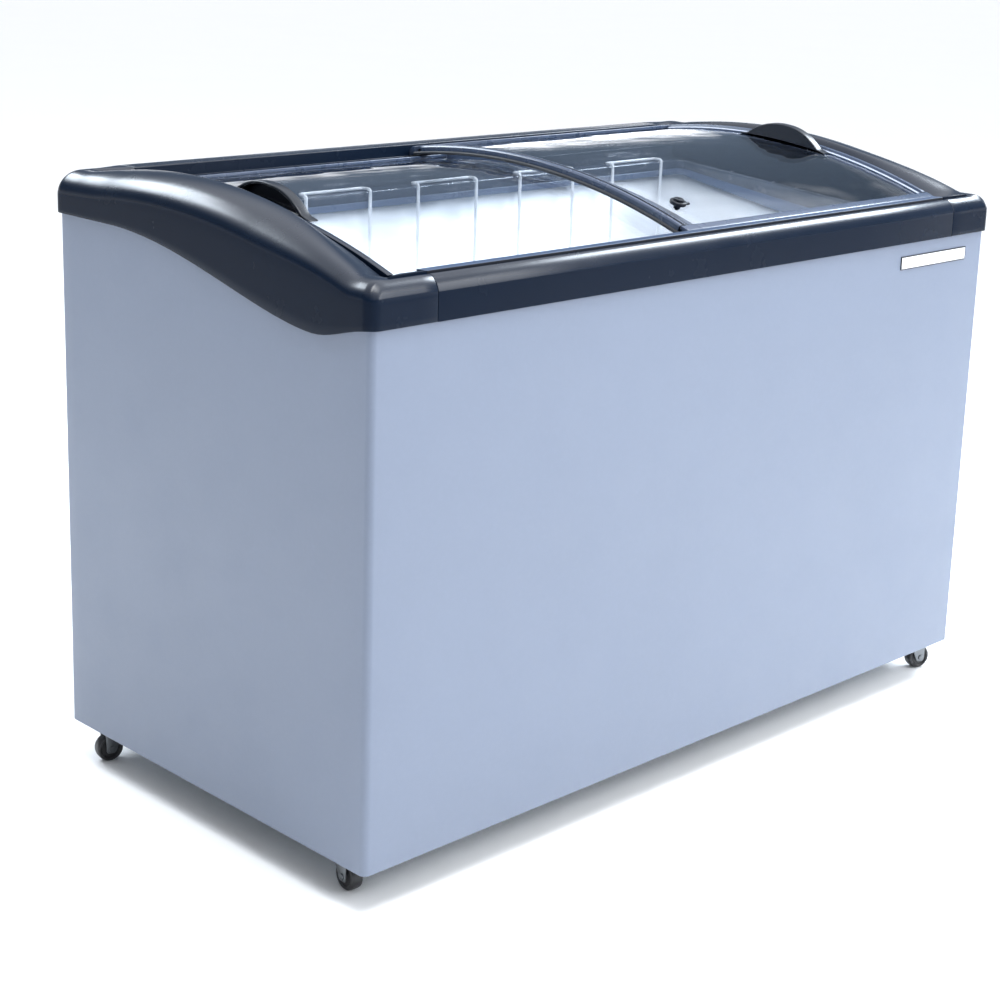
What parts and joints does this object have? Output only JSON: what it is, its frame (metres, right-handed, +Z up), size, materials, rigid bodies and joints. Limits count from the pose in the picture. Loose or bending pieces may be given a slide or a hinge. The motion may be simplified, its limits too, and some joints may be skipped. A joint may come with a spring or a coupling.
{
  "type": "chest freezer",
  "caption": "Low chest freezer on casters with curved glass sliding lids, dark moulded top frame, hanging wire baskets and a rear machine room.",
  "frame": {"origin": "middle of the footprint, on the floor under the caster wheels", "axes": "+X along the width to the customer's right, -Y towards the customer, +Z up"},
  "size_m": [1.302, 0.67, 0.8964],
  "materials": {
    "cabinet_paint": "smooth light blue-grey powder coat, semi-gloss",
    "frame_plastic": "dark slate-grey moulded plastic, semi-gloss",
    "collar_plastic": "dark grey satin plastic",
    "liner_white": "white coated aluminium liner, satin",
    "foam": "foamed-in-place insulation, matte",
    "galvanised": "galvanised sheet",
    "lid_glass": "clear tempered glass",
    "lid_profile": "grey extruded plastic, satin",
    "black_plastic": "black moulded plastic, semi-gloss",
    "seal_rubber": "black rubber",
    "basket_wire": "white plastic-coated wire",
    "caster_steel": "dark plated steel",
    "caster_wheel": "black tread",
    "badge_white": "blank white plate",
    "machine_black": "black enamel",
    "copper": "copper tube"
  },
  "bodies": {
    "cabinet": {"outer_wrapper": "cabinet_paint", "rear_panel": "galvanised", "base_plate": "galvanised", "insulation_foam": "foam", "inner_liner": "liner_white", "evaporator_coil": "copper", "breaker_collar": "collar_plastic", "left_end_cap": "frame_plastic", "right_end_cap": "frame_plastic", "front_rail": "frame_plastic", "rear_rail": "frame_plastic", "badge_plate": "badge_white", "compressor": "machine_black", "compressor_tray": "galvanised", "condenser": "galvanised", "fan_bracket": "galvanised", "fan_motor": "machine_black", "filter_drier": "copper", "rear_grille": "black_plastic", "thermostat_housing": "machine_black", "power_inlet": "black_plastic", "caster_fl_plate": "caster_steel", "caster_rl_plate": "caster_steel", "caster_fr_plate": "caster_steel", "caster_rr_plate": "caster_steel"},
    "left_lid": {"left_lid_glass": "lid_glass", "left_lid_front_profile": "lid_profile", "left_lid_rear_profile": "lid_profile", "left_lid_outer_profile": "lid_profile", "left_lid_inner_profile": "lid_profile", "left_lid_handle": "black_plastic"},
    "right_lid": {"right_lid_glass": "lid_glass", "right_lid_front_profile": "lid_profile", "right_lid_rear_profile": "lid_profile", "right_lid_centre_bar": "lid_profile", "right_lid_bar_seal": "seal_rubber", "right_lid_outer_profile": "lid_profile", "right_lid_handle": "black_plastic", "lock_body": "black_plastic"},
    "lock": {"lock_plunger": "black_plastic"},
    "thermostat_dial": {"thermostat_knob": "black_plastic"},
    "fan": {"fan_blade": "black_plastic"},
    "basket_1": {"basket_1": "basket_wire"},
    "basket_2": {"basket_2": "basket_wire"},
    "basket_3": {"basket_3": "basket_wire"},
    "basket_4": {"basket_4": "basket_wire"},
    "basket_5": {"basket_5": "basket_wire"},
    "caster_fl_swivel": {"caster_fl_fork": "caster_steel", "caster_fl_axle": "caster_steel"},
    "caster_fl_roller": {"caster_fl_wheel": "caster_wheel"},
    "caster_rl_swivel": {"caster_rl_fork": "caster_steel", "caster_rl_axle": "caster_steel"},
    "caster_rl_roller": {"caster_rl_wheel": "caster_wheel"},
    "caster_fr_swivel": {"caster_fr_fork": "caster_steel", "caster_fr_axle": "caster_steel"},
    "caster_fr_roller": {"caster_fr_wheel": "caster_wheel"},
    "caster_rr_swivel": {"caster_rr_fork": "caster_steel", "caster_rr_axle": "caster_steel"},
    "caster_rr_roller": {"caster_rr_wheel": "caster_wheel"}
  },
  "joints": [
    {"name": "left_lid_slide", "type": "slide", "parent": "cabinet", "child": "left_lid", "axis": [1, 0, 0], "range_m": [0, 0.48]},
    {"name": "right_lid_slide", "type": "slide", "parent": "cabinet", "child": "right_lid", "axis": [1, 0, 0], "range_m": [-0.48, 0]},
    {"name": "lock_press", "type": "slide", "parent": "right_lid", "child": "lock", "axis": [0, 0.2696, -0.963], "range_m": [0, 0.0024]},
    {"name": "thermostat_turn", "type": "hinge", "parent": "cabinet", "child": "thermostat_dial", "pos_m": [0.42, 0.33, 0.262], "axis": [0, -1, 0], "range_deg": [0, 270]},
    {"name": "fan_spin", "type": "hinge", "parent": "cabinet", "child": "fan", "pos_m": [0.5, 0.265, 0.185], "axis": [0, 1, 0], "continuous": true},
    {"name": "basket_1_lift", "type": "slide", "parent": "cabinet", "child": "basket_1", "axis": [0, 0, 1], "range_m": [0, 0.015]},
    {"name": "basket_2_lift", "type": "slide", "parent": "cabinet", "child": "basket_2", "axis": [0, 0, 1], "range_m": [0, 0.015]},
    {"name": "basket_3_lift", "type": "slide", "parent": "cabinet", "child": "basket_3", "axis": [0, 0, 1], "range_m": [0, 0.015]},
    {"name": "basket_4_lift", "type": "slide", "parent": "cabinet", "child": "basket_4", "axis": [0, 0, 1], "range_m": [0, 0.015]},
    {"name": "basket_5_lift", "type": "slide", "parent": "cabinet", "child": "basket_5", "axis": [0, 0, 1], "range_m": [0, 0.015]},
    {"name": "caster_fl_swivel_turn", "type": "hinge", "parent": "cabinet", "child": "caster_fl_swivel", "pos_m": [-0.602, -0.241, 0.048], "axis": [0, 0, 1], "continuous": true},
    {"name": "caster_fl_roll", "type": "hinge", "parent": "caster_fl_swivel", "child": "caster_fl_roller", "pos_m": [-0.60305, -0.25295, 0.02], "axis": [0.9962, -0.0872, 0], "continuous": true},
    {"name": "caster_rl_swivel_turn", "type": "hinge", "parent": "cabinet", "child": "caster_rl_swivel", "pos_m": [-0.602, 0.279, 0.048], "axis": [0, 0, 1], "continuous": true},
    {"name": "caster_rl_roll", "type": "hinge", "parent": "caster_rl_swivel", "child": "caster_rl_roller", "pos_m": [-0.61374, 0.28149, 0.02], "axis": [-0.2079, -0.9781, 0], "continuous": true},
    {"name": "caster_fr_swivel_turn", "type": "hinge", "parent": "cabinet", "child": "caster_fr_swivel", "pos_m": [0.615, -0.28, 0.048], "axis": [0, 0, 1], "continuous": true},
    {"name": "caster_fr_roll", "type": "hinge", "parent": "caster_fr_swivel", "child": "caster_fr_roller", "pos_m": [0.62628, -0.2841, 0.02], "axis": [0.342, 0.9397, 0], "continuous": true},
    {"name": "caster_rr_swivel_turn", "type": "hinge", "parent": "cabinet", "child": "caster_rr_swivel", "pos_m": [0.602, 0.279, 0.048], "axis": [0, 0, 1], "continuous": true},
    {"name": "caster_rr_roll", "type": "hinge", "parent": "caster_rr_swivel", "child": "caster_rr_roller", "pos_m": [0.61328, 0.2831, 0.02], "axis": [-0.342, 0.9397, 0], "continuous": true}
  ]
}
